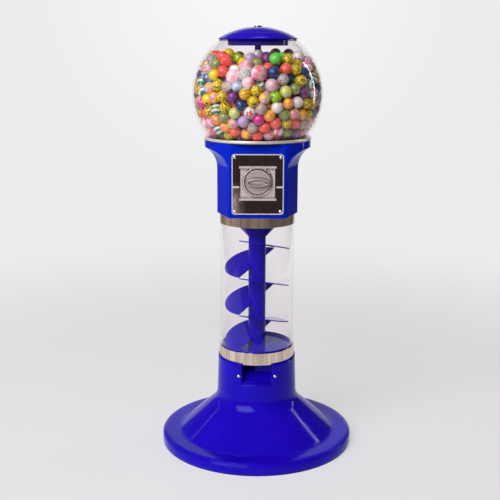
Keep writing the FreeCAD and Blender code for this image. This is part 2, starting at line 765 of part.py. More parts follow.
WINDOW_END = "(window_start - window_angle)"
WINDOW_OUT = "(dial_radius + window_width)"
window = raised("arc_window", "XZ_Plane", [
    (*on_arc(WINDOW_OUT, WINDOW_END), WINDOW_OUT, -1),
    on_arc(WINDOW_OUT, "window_start"),
    (*on_arc("dial_radius", "window_start"), "dial_radius", 1),
    on_arc("dial_radius", WINDOW_END),
], "window_depth + 2 * dial_depth", f"{MECH_FRONT} - window_depth")
front_bore = spindle("front_bore", SHAFT_HOLE, "2 * mech_thickness", f"{MECH_FRONT} + mech_thickness / 2",
                     up=KNOB)
cast_form = joined("cast_form", [cast_plate, dial] + rails + [cut("hood_open", hood, [dial_space])])
node("mech_front", cut("mech_front", cast_form, [coin_slot, window, front_bore]))

# Mechanism body: a box behind the cast front, open toward it, with a way out for coins below
BODY_BACK = f"({PLATE_FRONT} - mech_body_depth)"
body_block = block("body_block", f"-{MECH_HALF}", MECH_HALF, f"-{PLATE_FRONT}", f"-{BODY_BACK}", MECH_LOW,
                   MECH_HIGH)
body_hollow = block("body_hollow", f"-{MECH_HALF} + mech_body_wall", f"{MECH_HALF} - mech_body_wall",
                    f"-{PLATE_FRONT} - mech_body_wall", f"-{BODY_BACK} - mech_body_wall",
                    f"{MECH_LOW} + mech_body_wall", f"{MECH_HIGH} - mech_body_wall")
coin_drop = block("coin_drop", "-coin_drop_width / 2", "coin_drop_width / 2",
                  f"-{PLATE_FRONT} + plate_thickness + head_wall", f"-{BODY_BACK} - mech_body_wall",
                  f"{MECH_LOW} - mech_body_wall", f"{MECH_LOW} + 2 * mech_body_wall")
body_bore = spindle("body_bore", SHAFT_HOLE, "mech_body_depth", f"{PLATE_FRONT} - mech_body_depth / 2",
                    up=KNOB)
node("mech_body", cut("mech_body", body_block, [body_hollow, coin_drop, body_bore]))

# Knob: a disc with a lens-shaped grip whose face is hollowed between two ridges
KNOB_BACK = f"({MECH_FRONT} + seat_gap)"
KNOB_FRONT = f"({KNOB_BACK} + knob_thickness)"


def lens_outline(inset):
    """Grip outline from four arcs' end points: two curved long sides and two short straight ends."""
    half = f"(grip_length / 2 - {inset})"
    end = f"(grip_end / 2 - {inset} / 2)"
    bulge = f"(grip_width / 2 - {inset} - {end})"
    radius = f"(({half} ^ 2 + {bulge} ^ 2) / (2 * {bulge}))"
    return [
        (f"-{half}", f"{KNOB} - {end}", radius, -1),
        (half, f"{KNOB} - {end}"),
        (half, f"{KNOB} + {end}", radius, -1),
        (f"-{half}", f"{KNOB} + {end}"),
    ]


knob_disc = spindle("knob_disc", "knob_radius", "knob_thickness", KNOB_FRONT, up=KNOB)
grip = raised("knob_grip", "XZ_Plane", lens_outline("0"), "grip_depth + knob_thickness / 2",
              f"{KNOB_FRONT} - knob_thickness / 2")
grip_face = raised("grip_face", "XZ_Plane", lens_outline("grip_ridge"), "grip_hollow",
                   f"{KNOB_FRONT} + grip_depth - grip_hollow")
node("coin_knob", cut("coin_knob", joined("knob_form", [knob_disc, grip]), [grip_face]))

# Shaft, coin wheel and drive pinion behind the knob
node("knob_shaft", spindle("knob_shaft", "shaft_radius", "shaft_length", KNOB_BACK, up=KNOB))
WHEEL_FRONT = f"({PLATE_FRONT} - coin_wheel_place)"
coin_disc = spindle("coin_disc", "coin_wheel_radius", "coin_wheel_thickness", WHEEL_FRONT, up=KNOB)
coin_disc_bore = spindle("coin_disc_bore", "shaft_radius", "3 * coin_wheel_thickness",
                         f"{WHEEL_FRONT} + coin_wheel_thickness", up=KNOB)
coin_notch = block("coin_notch", "-coin_notch_width / 2", "coin_notch_width / 2", "-2 * head_radius", "0",
                   f"{KNOB} + coin_wheel_radius - coin_notch_depth", f"{KNOB} + 2 * coin_wheel_radius")
node("coin_wheel", cut("coin_wheel", coin_disc, [coin_disc_bore, coin_notch]))
PINION_FRONT = "(crown_radius + pinion_length / 2)"
pinion_hub = spindle("pinion_hub", "pinion_hub", "pinion_length", PINION_FRONT, up=KNOB)
pinion_bars = []
for index in range(int(number("pinion_teeth"))):
    bar = doc.addObject("Part::Box", f"pinion_bar_{index}")
    put(bar, "Length", "pinion_tip")
    put(bar, "Width", "pinion_length")
    put(bar, "Height", "pinion_tooth")
    arm = doc.addObject("Part::Compound", f"pinion_arm_{index}")
    arm.Links = [place(bar, up="-pinion_tooth / 2")]
    swing(arm, Vector(0, -1, 0), f"90 + {index} * 360 / pinion_teeth")
    pinion_bars.append(place(arm, back=f"-{PINION_FRONT}", up=KNOB))
pinion_bore = spindle("pinion_bore", "shaft_radius", "3 * pinion_length", f"{PINION_FRONT} + pinion_length",
                      up=KNOB)
node("drive_pinion", cut("drive_pinion", joined("pinion_form", [pinion_hub] + pinion_bars), [pinion_bore]))

# Hopper: a funnel under the globe with a well for the product wheel
WELL_TOP = f"({WHEEL_TOP} + cover_gap + cover_thickness * 2)"
hopper_form = turned("hopper_form", [
    (ROD_HOLE, f"{HOPPER} - hopper_floor"),
    (f"{WELL} + hopper_wall", f"{HOPPER} - hopper_floor"),
    (f"{WELL} + hopper_wall", WELL_TOP),
    ("funnel_radius + hopper_wall", HEAD_TOP),
    ("head_radius - seat_gap", HEAD_TOP),
    ("head_radius - seat_gap", RING),
    ("funnel_radius", RING),
    (WELL, WELL_TOP),
    (WELL, HOPPER),
    (ROD_HOLE, HOPPER),
])
HOPPER_LOW = f"({HOPPER} - 2 * hopper_floor)"
hopper_drop = drum("hopper_drop", "ball_hole_radius", "4 * hopper_floor", DROP_ACROSS, DROP_BACK, HOPPER_LOW)
pinion_slot = block("pinion_slot", "-pinion_tip - cover_gap", "pinion_tip + cover_gap",
                    f"-{PINION_FRONT} - cover_gap", f"-{PINION_FRONT} + pinion_length + cover_gap",
                    HOPPER_LOW, f"{HOPPER} + hopper_floor")
node("hopper", cut("hopper", hopper_form, [hopper_drop, pinion_slot]))

# Product wheel: a disc with ball pockets, a hub and a crown of teeth under its edge
wheel_form = turned("wheel_form", [
    ("rod_radius + running_gap", f"{HOPPER} + seat_gap"),
    ("wheel_hub", f"{HOPPER} + seat_gap"),
    ("wheel_hub", WHEEL),
    ("wheel_radius", WHEEL),
    ("wheel_radius", WHEEL_TOP),
    ("rod_radius + running_gap", WHEEL_TOP),
])


def around(name, shape, count, phase):
    """Copies of a shape spread evenly about z."""
    copies = []
    for index in range(int(number(count))):
        copy = doc.addObject("Part::Compound", f"{name}_{index}")
        copy.Links = [shape]
        copies.append(swing(copy, UP, f"{phase} + {index} * 360 / {count}"))
    return copies


pocket = drum("pocket", "ball_hole_radius", "2 * wheel_thickness", "pocket_circle",
              up=f"{WHEEL} - wheel_thickness / 2")
crown_bar = block("crown_bar", "crown_radius - crown_length / 2", "crown_radius + crown_length / 2",
                  "-crown_tooth / 2", "crown_tooth / 2", f"{WHEEL} - crown_height",
                  f"{WHEEL} + crown_height / 2")
crown = around("crown", crown_bar, "crown_teeth", "-90 + 180 / crown_teeth")
pockets = around("pocket_copy", pocket, "pocket_count", "-drop_angle + 180 / pocket_count")
node("product_wheel", cut("product_wheel", joined("wheel_toothed", [wheel_form] + crown), pockets))

# Cover that keeps loose balls off the drop hole, and the tube from there to the head floor
cover_disc = drum("cover_disc", "cover_radius", "cover_thickness", DROP_ACROSS, DROP_BACK,
                  f"{WHEEL_TOP} + cover_gap")
cover_edge = drum("cover_edge", f"{WELL} - seat_gap", HEAD_TOP)
node("drop_cover", shared("drop_cover", [cover_disc, cover_edge]))
DROP_LENGTH = f"{HOPPER} - hopper_floor - {HEAD} - head_wall"
drop_outer = drum("drop_outer", "ball_hole_radius + drop_tube_wall", DROP_LENGTH, DROP_ACROSS, DROP_BACK,
                  f"{HEAD} + head_wall")
drop_inner = drum("drop_inner", "ball_hole_radius", HEAD_TOP, DROP_ACROSS, DROP_BACK)
node("drop_tube", cut("drop_tube", drop_outer, [drop_inner]))

# Coin tray on the head floor
TRAY_LOW = f"({HEAD} + head_wall)"
coin_block = block("coin_block", "-coin_tray_left", "coin_tray_right", "-coin_tray_front", "-coin_tray_back",
                   TRAY_LOW, f"{TRAY_LOW} + coin_tray_height")
coin_hollow = block("coin_hollow", "-coin_tray_left + coin_tray_wall", "coin_tray_right - coin_tray_wall",
                    "-coin_tray_front + coin_tray_wall", "-coin_tray_back - coin_tray_wall",
                    f"{TRAY_LOW} + coin_tray_wall", f"{TRAY_LOW} + 2 * coin_tray_height")
node("coin_tray", cut("coin_tray", coin_block, [coin_hollow]))

# Bright ring around the foot of the globe
node("globe_ring", turned("globe_ring", [
    (RING_IN, RING),
    (RING_OUT, RING),
    (RING_OUT, f"{RING} + ring_height - ring_round", "ring_round", -1),
    (f"{RING_OUT} - ring_round", f"{RING} + ring_height"),
    (f"{RING_IN} + ring_round", f"{RING} + ring_height"),
    (RING_IN, f"{RING} + globe_neck - seat_gap"),
]))

# Clear globe: a sphere with a neck below and a filling mouth above
MOUTH_IN = f"({GLOBE_MOUTH} - globe_wall)"
node("globe", turned("globe", [
    (MOUTH_IN, RING),
    (GLOBE_MOUTH, RING),
    (GLOBE_MOUTH, GLOBE_EDGE, "globe_radius", -1),
    ("globe_top_mouth", f"{GLOBE_MID} + sqrt(globe_radius ^ 2 - globe_top_mouth ^ 2)"),
    ("globe_top_mouth", f"{GLOBE_MID} + sqrt({GLOBE_IN} ^ 2 - globe_top_mouth ^ 2)", GLOBE_IN, 1),
    (MOUTH_IN, f"{GLOBE_MID} - sqrt({GLOBE_IN} ^ 2 - {MOUTH_IN} ^ 2)"),
]))


# Lid: a shallow dome over the mouth with a neck that reaches into it
def lid_level(radius, inset):
    """Height of the dome, or of its underside when inset by the wall."""
    return f"({LID_MID} + sqrt(({LID_ARC} - {inset}) ^ 2 - {radius} ^ 2))"


LID_UNDER = f"({LID_ARC} - lid_wall)"
LOCK_HOLE = "(lock_radius + running_gap)"
node("lid", turned("lid", [
    (LID_RIM_IN, LID_RIM),
    ("lid_radius", LID_RIM),
    ("lid_radius", f"{LID_RIM} + lid_edge", LID_ARC, -1),
    (LOCK_HOLE, lid_level(LOCK_HOLE, "0")),
    (LOCK_HOLE, lid_level(LOCK_HOLE, "lid_wall"), LID_UNDER, 1),
    (f"{LID_NECK} - lid_neck_wall", lid_level(f"({LID_NECK} - lid_neck_wall)", "lid_wall")),
    (f"{LID_NECK} - lid_neck_wall", f"{LID_RIM} - lid_neck_depth"),
    (LID_NECK, f"{LID_RIM} - lid_neck_depth"),
    (LID_NECK, lid_level(LID_NECK, "lid_wall"), LID_UNDER, 1),
    (LID_RIM_IN, lid_level(LID_RIM_IN, "lid_wall")),
]))

# Lock in the middle of the lid, with a socket for the rod
LOCK_TOP = f"({LID_TOP} + lock_flange_height)"
lock_form = turned("lock_form", [
    ("rod_radius + running_gap", LOCK_LOW),
    ("lock_radius", LOCK_LOW),
    ("lock_radius", f"{LID_TOP} + seat_gap"),
    ("lock_flange_radius", f"{LID_TOP} + seat_gap"),
    ("lock_flange_radius", LOCK_TOP),
    ("0", LOCK_TOP),
    ("0", f"{LOCK_LOW} + lock_socket"),
    ("rod_radius + running_gap", f"{LOCK_LOW} + lock_socket"),
])
key_slot = block("key_slot", "-key_slot_length / 2", "key_slot_length / 2", "-key_slot_width / 2",
                 "key_slot_width / 2", f"{LOCK_TOP} - key_slot_depth", f"{LOCK_TOP} + key_slot_depth")
node("lid_lock", cut("lid_lock", lock_form, [key_slot]))

# Tie rod from the ballast plate to the lock, its sleeve in the globe, and its nuts and washers
ROD_LOW = f"({BALLAST_LOW} - washer_thickness - nut_height)"
ROD_TOP = f"({LOCK_LOW} + lock_socket - seat_gap)"
node("centre_rod", drum("centre_rod", "rod_radius", f"{ROD_TOP} - {ROD_LOW}", up=ROD_LOW))
node("rod_sleeve", sleeve("rod_sleeve", ROD_HOLE, f"{ROD_HOLE} + sleeve_wall", f"{WHEEL_TOP} + seat_gap",
                          f"{ROD_TOP} - sleeve_drop"))


def nut(name, low):
    body = raised(name + "_hex", "XY_Plane", hexagon("nut_radius"), "nut_height", low)
    return cut(name, body, [drum(name + "_bore", "rod_radius", "3 * nut_height", up=f"{low} - nut_height")])


def washer(name, low):
    return sleeve(name, ROD_HOLE, "washer_radius", low, f"{low} + washer_thickness")


node("rod_nuts", group("rod_nuts", [
    nut("nut_low", ROD_LOW), washer("washer_low", f"({BALLAST_LOW} - washer_thickness)"),
    washer("washer_head", TRAY_LOW), nut("nut_head", f"({TRAY_LOW} + washer_thickness)"),
]))


# Balls against the inside of the globe, in level rings, with a level layer on top
def ball_ring(radius, height, spacing):
    """Centres of one level ring of balls, each against the next, begun at the back."""
    pitch = 2 * math.asin(spacing / (2 * radius))
    angles = [math.pi / 2 + index * pitch for index in range(math.floor(2 * math.pi / pitch))]
    return [Vector(radius * math.cos(angle), radius * math.sin(angle), height) for angle in angles]


def ball_centres():
    spacing = number("2 * ball_radius + ball_gap")
    reach = number(f"{GLOBE_IN} - ball_radius - ball_gap")
    middle = number(GLOBE_MID)
    low = number(f"{RING} + ball_radius + globe_neck") - middle
    high = number(f"{LID_RIM} - ball_top_drop") - middle
    step = spacing / reach
    first = math.ceil(math.asin(low / reach) / step)
    last = math.floor(math.asin(high / reach) / step)
    levels = range(first, last + 1)
    centres = []
    for level in levels:
        centres += ball_ring(reach * math.cos(level * step), middle + reach * math.sin(level * step), spacing)
    top = centres[-1].z
    radius = reach * math.cos(levels[-1] * step) - spacing
    while radius > number(f"{ROD_HOLE} + sleeve_wall + ball_radius + ball_gap"):
        centres += ball_ring(radius, top, spacing)
        radius -= spacing
    return centres


balls = doc.addObject("Part::Feature", "bouncy_balls")
balls.Shape = Part.makeCompound([Part.makeSphere(number("ball_radius"), centre) for centre in ball_centres()])
node("bouncy_balls", balls)

# Check every object and write one file for each piece
doc.recompute()
for item in doc.Objects:
    if "Invalid" in item.State or "Error" in item.State:
        raise RuntimeError(f"{item.Name} did not build: {item.State}")
os.makedirs("parts", exist_ok=True)
for piece in nodes:
    if piece.Shape.isNull() or not piece.Shape.isValid():
        raise RuntimeError(f"{piece.Label} has no valid shape")
    piece.Shape.exportStep(f"parts/{piece.Label}.step")
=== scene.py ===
import json
import math

import bpy
import numpy as np
from mathutils import Matrix, Vector


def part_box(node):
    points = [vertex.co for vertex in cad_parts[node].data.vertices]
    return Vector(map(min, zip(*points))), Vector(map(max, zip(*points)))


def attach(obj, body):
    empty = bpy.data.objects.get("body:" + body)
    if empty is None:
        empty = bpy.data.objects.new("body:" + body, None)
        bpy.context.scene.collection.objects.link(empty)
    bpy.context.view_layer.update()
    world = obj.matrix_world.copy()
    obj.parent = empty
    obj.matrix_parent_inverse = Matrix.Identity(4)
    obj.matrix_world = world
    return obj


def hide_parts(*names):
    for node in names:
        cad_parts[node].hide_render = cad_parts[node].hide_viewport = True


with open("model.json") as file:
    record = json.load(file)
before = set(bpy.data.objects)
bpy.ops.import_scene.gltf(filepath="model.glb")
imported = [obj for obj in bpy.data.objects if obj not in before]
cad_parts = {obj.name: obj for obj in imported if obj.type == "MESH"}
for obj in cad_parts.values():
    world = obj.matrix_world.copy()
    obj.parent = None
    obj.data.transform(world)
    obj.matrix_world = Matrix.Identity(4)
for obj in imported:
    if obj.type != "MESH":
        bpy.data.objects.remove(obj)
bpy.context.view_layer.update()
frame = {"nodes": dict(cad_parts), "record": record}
nodes = frame["nodes"]
scene = bpy.context.scene
MM = 0.001

# Colours of the machine, in linear light
DEEP_BLUE = (0.010, 0.001, 0.46, 1)
FRESH_BLUE = (0.014, 0.002, 0.54, 1)
HEAD_BLUE = (0.001, 0.013, 0.48, 1)
HEAD_BLUE_FRESH = (0.002, 0.020, 0.58, 1)
STEEL_WARM = (0.98, 0.82, 0.66, 1)
STEEL_COOL = (0.42, 0.35, 0.31, 1)
PLATE_LIGHT = (0.125, 0.094, 0.100, 1)
PLATE_DARK = (0.070, 0.052, 0.060, 1)
# Painted tan reflection on a lower corner of the face plate
REFLECTED_TAN = (0.80, 0.63, 0.53, 1)
CAST_LIGHT = (0.94, 0.85, 0.83, 1)
CAST_DARK = (0.80, 0.71, 0.70, 1)
# Painted shade for the creases of the castings
CAST_CREASE_SHADE = (0.10, 0.08, 0.08, 1)
KNOB_LIGHT = (0.72, 0.63, 0.65, 1)
KNOB_DARK = (0.58, 0.50, 0.52, 1)
RING_LIGHT = (0.86, 0.83, 0.82, 1)
RING_DARK = (0.74, 0.71, 0.70, 1)
CHROME = (0.80, 0.79, 0.78, 1)
CHROME_DULL = (0.70, 0.69, 0.68, 1)
ZINC_LIGHT = (0.56, 0.57, 0.58, 1)
ZINC_DARK = (0.42, 0.42, 0.43, 1)
HOPPER_GREY = (0.022, 0.022, 0.026, 1)
HOPPER_PALE = (0.034, 0.034, 0.040, 1)
IRON_BLACK = (0.012, 0.012, 0.013, 1)
IRON_GREY = (0.022, 0.022, 0.024, 1)
CLEAR_TINT = (0.985, 0.952, 0.966, 1)
CLEAR_PALE = (1.0, 0.978, 0.988, 1)

# Colours of the balls, in linear light
WHITE = (0.80, 0.78, 0.76, 1)
BLACK = (0.012, 0.012, 0.014, 1)
YELLOW = (0.86, 0.70, 0.012, 1)
GOLD = (0.86, 0.50, 0.012, 1)
OLIVE_LINE = (0.07, 0.055, 0.004, 1)
LIME = (0.30, 0.62, 0.01, 1)
BRIGHT_GREEN = (0.08, 0.66, 0.04, 1)
PALE_GREEN = (0.18, 0.74, 0.10, 1)
CORAL = (0.86, 0.06, 0.05, 1)
SALMON = (0.90, 0.20, 0.14, 1)
NAVY = (0.012, 0.026, 0.16, 1)
STEEL_BLUE = (0.03, 0.10, 0.26, 1)
SKY = (0.42, 0.58, 0.74, 1)
MINT = (0.42, 0.72, 0.52, 1)
TEAL = (0.01, 0.24, 0.12, 1)
PINK = (0.86, 0.12, 0.34, 1)
PALE_PINK = (0.84, 0.52, 0.58, 1)
MAGENTA = (0.66, 0.04, 0.26, 1)
PURPLE = (0.17, 0.05, 0.30, 1)
LILAC = (0.52, 0.36, 0.62, 1)
ORANGE = (0.84, 0.30, 0.05, 1)
MAROON = (0.16, 0.02, 0.04, 1)
KHAKI = (0.36, 0.40, 0.12, 1)
MOSS = (0.18, 0.28, 0.08, 1)
SAND = (0.24, 0.17, 0.14, 1)
SAND_PALE = (0.66, 0.57, 0.49, 1)
GREY = (0.20, 0.19, 0.19, 1)
SHELL = (0.62, 0.53, 0.55, 1)

# Stretch of a texture along the piece's axes
EVEN = (1, 1, 1)
UPRIGHT_BRUSH = (40, 40, 1)
BAND_BRUSH = (9, 9, 0.5)
TURNED_BRUSH = (1, 1, 6)

# Places of the colour sockets on a Mix node, whose names repeat
MIX_FIRST = 6
MIX_SECOND = 7
MIX_RESULT = 2


# Shader nodes, joined by their outputs and inputs
def feed(tree, value, socket):
    """Link an output to an input, or set the input to a plain value."""
    if isinstance(value, bpy.types.NodeSocket):
        tree.links.new(value, socket)
    else:
        socket.default_value = value


def feed_in_order(tree, target, values):
    """Feed the first inputs of a node."""
    for value, socket in zip(values, target.inputs):
        feed(tree, value, socket)


def fill(tree, target, **inputs):
    """Feed inputs of a node by name, with _ for a space."""
    for name, value in inputs.items():
        feed(tree, value, target.inputs[name.replace("_", " ")])
    return target


def put(tree, kind, **inputs):
    """New node with some of its inputs fed by name."""
    return fill(tree, tree.nodes.new("ShaderNode" + kind), **inputs)


def first_of(tree, kind):
    """Node of a kind that a new tree comes with."""
    return next(n for n in tree.nodes if n.type == kind)


def new_material(name):
    """Material with one Principled shader."""
    material = bpy.data.materials.new(name)
    material.use_nodes = True
    tree = material.node_tree
    return material, tree, first_of(tree, "BSDF_PRINCIPLED")


def show_mix(tree, share, first, second):
    """Give the material a mix of two shaders."""
    mix = put(tree, "MixShader")
    feed_in_order(tree, mix, (share, first, second))
    fill(tree, first_of(tree, "OUTPUT_MATERIAL"), Surface=mix.outputs["Shader"])


def object_place(tree):
    """Place on the piece itself."""
    return put(tree, "TexCoord").outputs["Object"]


def object_space(tree, stretch=EVEN):
    """Place on the piece itself, stretched for streaks."""
    return put(tree, "Mapping", Vector=object_place(tree), Scale=stretch).outputs["Vector"]


def split(tree, vector):
    """X, Y and Z outputs of a vector."""
    return put(tree, "SeparateXYZ", Vector=vector).outputs


def noise(tree, space, scale, detail=3.0, rough=0.5, bend=0.0):
    """Cloudy texture."""
    made = put(tree, "TexNoise", Vector=space, Scale=scale, Detail=detail, Roughness=rough, Distortion=bend)
    return made.outputs["Fac"]


def ramp(tree, value, stops):
    """Colour by value, between (place, colour) stops."""
    made = put(tree, "ValToRGB", Fac=value)
    points = made.color_ramp.elements
    while len(points) < len(stops):
        points.new(1)
    for point, (place, colour) in zip(points, stops):
        point.position = place
        point.color = colour
    return made.outputs["Color"]


def tones(tree, value, first, second, start=0.3, end=0.7):
    """Colour that goes from the first to the second between two values."""
    return ramp(tree, value, ((start, first), (end, second)))


def pick(tree, value, first, second, edge, soft):
    """One of two colours on either side of a value, with a soft edge."""
    return tones(tree, value, first, second, max(0.0, edge - soft), min(1.0, edge + soft))


def spread(tree, value, low, high, start=0.3, end=0.7):
    """Values from start to end, moved to low to high."""
    made = put(tree, "MapRange", Value=value, From_Min=start, From_Max=end, To_Min=low, To_Max=high)
    return made.outputs["Result"]


def mixed(tree, share, first, second):
    """Colour between two by a share."""
    made = put(tree, "Mix", Factor=share)
    made.data_type = "RGBA"
    feed(tree, first, made.inputs[MIX_FIRST])
    feed(tree, second, made.inputs[MIX_SECOND])
    return made.outputs[MIX_RESULT]


def worked(tree, kind, operation, values):
    """Outputs of a Math or VectorMath node."""
    made = put(tree, kind)
    made.operation = operation
    feed_in_order(tree, made, values)
    return made.outputs


def number(tree, operation, *values):
    """Number worked out from outputs or plain numbers."""
    return worked(tree, "Math", operation, values)["Value"]


def vector_length(tree, vector):
    """Distance of a place from the origin."""
    return worked(tree, "VectorMath", "LENGTH", (vector,))["Value"]


def distance(tree, first, second):
    """Distance between two places."""
    return worked(tree, "VectorMath", "DISTANCE", (first, second))["Value"]


# Samples of the rounded edges and of the creases, and how far a crease reaches
EDGE_SAMPLES = 8
CREASE_SAMPLES = 6
CREASE_REACH = 6 * MM


def relief(tree, height, depth, soften):
    """Normal of a fine relief, over edges rounded by soften."""
    edge = put(tree, "Bevel", Radius=soften)
    edge.samples = EDGE_SAMPLES
    bump = put(tree, "Bump", Strength=1.0, Distance=depth, Height=height, Normal=edge.outputs["Normal"])
    return bump.outputs["Normal"]


def crease_shaded(tree, colour, crease_shade):
    """Colour that goes over to a painted shade in the creases of a surface."""
    hollow = put(tree, "AmbientOcclusion", Distance=CREASE_REACH)
    hollow.samples = CREASE_SAMPLES
    lit_share = spread(tree, hollow.outputs["AO"], low=0.0, high=1.0, start=0.45, end=0.95)
    return mixed(tree, lit_share, crease_shade, colour)


# Finishes of the machine
def blue_plastic(name, deep, fresh, soften=1.6 * MM, gloss=0.10):
    """Gloss moulded plastic with faint flow marks and a fine orange peel."""
    material, tree, shader = new_material(name)
    space = object_space(tree)
    flow = noise(tree, space, scale=7.0)
    haze = noise(tree, space, scale=45.0, detail=5.0)
    peel = noise(tree, space, scale=260.0, detail=1.0)
    fill(tree, shader,
         Base_Color=tones(tree, flow, deep, fresh, start=0.35, end=0.65),
         Roughness=spread(tree, haze, low=0.06, high=0.14),
         Normal=relief(tree, peel, depth=0.03 * MM, soften=soften),
         Specular_IOR_Level=gloss)
    return material


def metal(name, light, dark, brush, scale, rough, depth, soften, bare=1.0, crease_shade=None):
    """Metal whose tone, roughness and relief follow one streak texture."""
    material, tree, shader = new_material(name)
    grain = noise(tree, object_space(tree, brush), scale, detail=4.0, rough=0.6)
    colour = tones(tree, grain, dark, light)
    # Painted shade darkens the creases
    if crease_shade:
        colour = crease_shaded(tree, colour, crease_shade)
    fill(tree, shader,
         Base_Color=colour,
         Roughness=spread(tree, grain, *rough),
         Normal=relief(tree, grain, depth, soften),
         Metallic=bare)
    return material


# Painted light on the face plate, from where it begins to where it is full: depth behind the foremost face
# for the painted highlight on the rim and ribs; place across and share of the plate's height for the painted
# reflection
RIM_HIGHLIGHT_DEPTH = (1.0 * MM, 0.4 * MM)
TAN_REFLECTION_ACROSS = (-26 * MM, -50 * MM)
TAN_REFLECTION_HEIGHT = (0.55, 0.30)


def face_steel():
    """Dark polished plate with a painted highlight on its rim and ribs and a painted tan reflection on a
    lower corner.
    """
    material, tree, shader = new_material("plate_steel")
    plate_low, plate_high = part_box("face_plate")
    rise = plate_high.z - plate_low.z
    brush = noise(tree, object_space(tree, UPRIGHT_BRUSH), scale=9.0, detail=4.0, rough=0.6)
    smear = noise(tree, object_space(tree), scale=30.0)
    place = split(tree, object_place(tree))
    # Painted highlight on the foremost rim and ribs, in the ring's light tone, where the plate is also
    # rougher and less metallic
    rim_highlight = spread(tree, place["Y"], 0, 1, *(plate_low.y + depth for depth in RIM_HIGHLIGHT_DEPTH))
    # Painted tan reflection on a lower corner, broken up by noise, where the plate is also rougher and less
    # metallic
    corner = spread(tree, place["X"], 0, 1, *TAN_REFLECTION_ACROSS)
    below = spread(tree, place["Z"], 0, 1, *(plate_low.z + share * rise for share in TAN_REFLECTION_HEIGHT))
    reflection_corner = number(tree, "MULTIPLY", below, corner)
    tan_reflection = number(tree, "MULTIPLY", reflection_corner, spread(tree, smear, low=0.2, high=1.0))
    painted_light_mask = number(tree, "MAXIMUM", rim_highlight, tan_reflection)
    plate_with_reflection = mixed(tree, tan_reflection, tones(tree, brush, PLATE_DARK, PLATE_LIGHT), REFLECTED_TAN)
    fill(tree, shader,
         Base_Color=mixed(tree, rim_highlight, plate_with_reflection, RING_LIGHT),
         Roughness=spread(tree, painted_light_mask, low=0.10, high=0.34, start=0, end=1),
         Metallic=spread(tree, painted_light_mask, low=1.0, high=0.45, start=0, end=1),
         Normal=relief(tree, brush, depth=0.01 * MM, soften=0.6 * MM))
    return material


def matt(name, light, dark, scale, rough, depth):
    """Dull plastic or paint with a fine grain."""
    material, tree, shader = new_material(name)
    grain = noise(tree, object_space(tree), scale, detail=5.0, rough=0.6)
    fill(tree, shader,
         Base_Color=tones(tree, grain, dark, light),
         Roughness=spread(tree, grain, *rough),
         Normal=relief(tree, grain, depth, soften=0.6 * MM))
    return material


def clear_plastic():
    """Clear moulded plastic that lets the lamps through to what is inside."""
    material, tree, shader = new_material("clear_plastic")
    smear = noise(tree, object_space(tree), scale=9.0, detail=4.0)
    fill(tree, shader,
         Base_Color=tones(tree, smear, CLEAR_TINT, CLEAR_PALE),
         Roughness=spread(tree, smear, low=0.0, high=0.035),
         Transmission_Weight=1.0,
         IOR=1.30)
    path = put(tree, "LightPath").outputs
    lamplight = number(tree, "MAXIMUM", path["Is Shadow Ray"], path["Is Diffuse Ray"])
    open_way = put(tree, "BsdfTransparent", Color=CLEAR_TINT)
    show_mix(tree, lamplight, shader.outputs["BSDF"], open_way.outputs["BSDF"])
    return material


# Settings that two metals share, with a painted shade in the creases of the castings
CASTING = dict(brush=EVEN, scale=420.0, rough=(0.25, 0.35), depth=0.02 * MM, soften=0.9 * MM, bare=0.55,
               crease_shade=CAST_CREASE_SHADE)
TURNED = dict(brush=TURNED_BRUSH, scale=60.0, depth=0.01 * MM)

# Finish of each material slot
finishes = {
    "blue_plastic": blue_plastic("blue_plastic", DEEP_BLUE, FRESH_BLUE),
    "clear_plastic": clear_plastic(),
    "steel_trim": metal("steel_trim", STEEL_WARM, STEEL_COOL, brush=BAND_BRUSH, scale=9.0, rough=(0.12, 0.26),
                        depth=0.02 * MM, soften=0.5 * MM),
    "cast_metal": metal("cast_metal", CAST_LIGHT, CAST_DARK, **CASTING),
    "bright_metal": metal("bright_metal", CHROME, CHROME_DULL, rough=(0.08, 0.16), soften=0.6 * MM, **TURNED),
    "plated_steel": metal("plated_steel", ZINC_LIGHT, ZINC_DARK, brush=UPRIGHT_BRUSH, scale=25.0,
                          rough=(0.25, 0.40), depth=0.03 * MM, soften=0.4 * MM),
    "hopper_plastic": matt("hopper_plastic", HOPPER_PALE, HOPPER_GREY, scale=300.0, rough=(0.40, 0.55),
                           depth=0.04 * MM),
    "ballast": matt("ballast", IRON_GREY, IRON_BLACK, scale=180.0, rough=(0.55, 0.75), depth=0.2 * MM),
}
# Nodes whose finish differs a little from the rest of their slot
own_finishes = {
    "head_housing": blue_plastic("head_blue", HEAD_BLUE, HEAD_BLUE_FRESH, gloss=0.05),
    "base_shell": blue_plastic("base_blue", DEEP_BLUE, FRESH_BLUE, soften=12 * MM),
    "lid": blue_plastic("lid_blue", DEEP_BLUE, FRESH_BLUE, soften=5 * MM),
    "face_plate": face_steel(),
    "coin_knob": metal("knob_metal", KNOB_LIGHT, KNOB_DARK, **CASTING),
    "globe_ring": metal("ring_metal", RING_LIGHT, RING_DARK, rough=(0.25, 0.36), soften=1.0 * MM, bare=0.5,
                        **TURNED),
}
for part in frame["record"]["subparts"]:
    finish = own_finishes.get(part["node"]) or finishes.get(part["material_slot"])
    if finish:
        mesh = nodes[part["node"]].data
        mesh.materials.clear()
        mesh.materials.append(finish)


def add_piece(name, mesh):
    """New object of the scene."""
    piece = bpy.data.objects.new(name, mesh)
    scene.collection.objects.link(piece)
    return piece


# Balls: a seeded heap settled inside the globe
SEED = 11
BALL = 13.5 * MM
BALL_SPREAD = 0.9 * MM
SPREAD_RANGE = (-1, 0.6)
HEAP_COUNT = 760
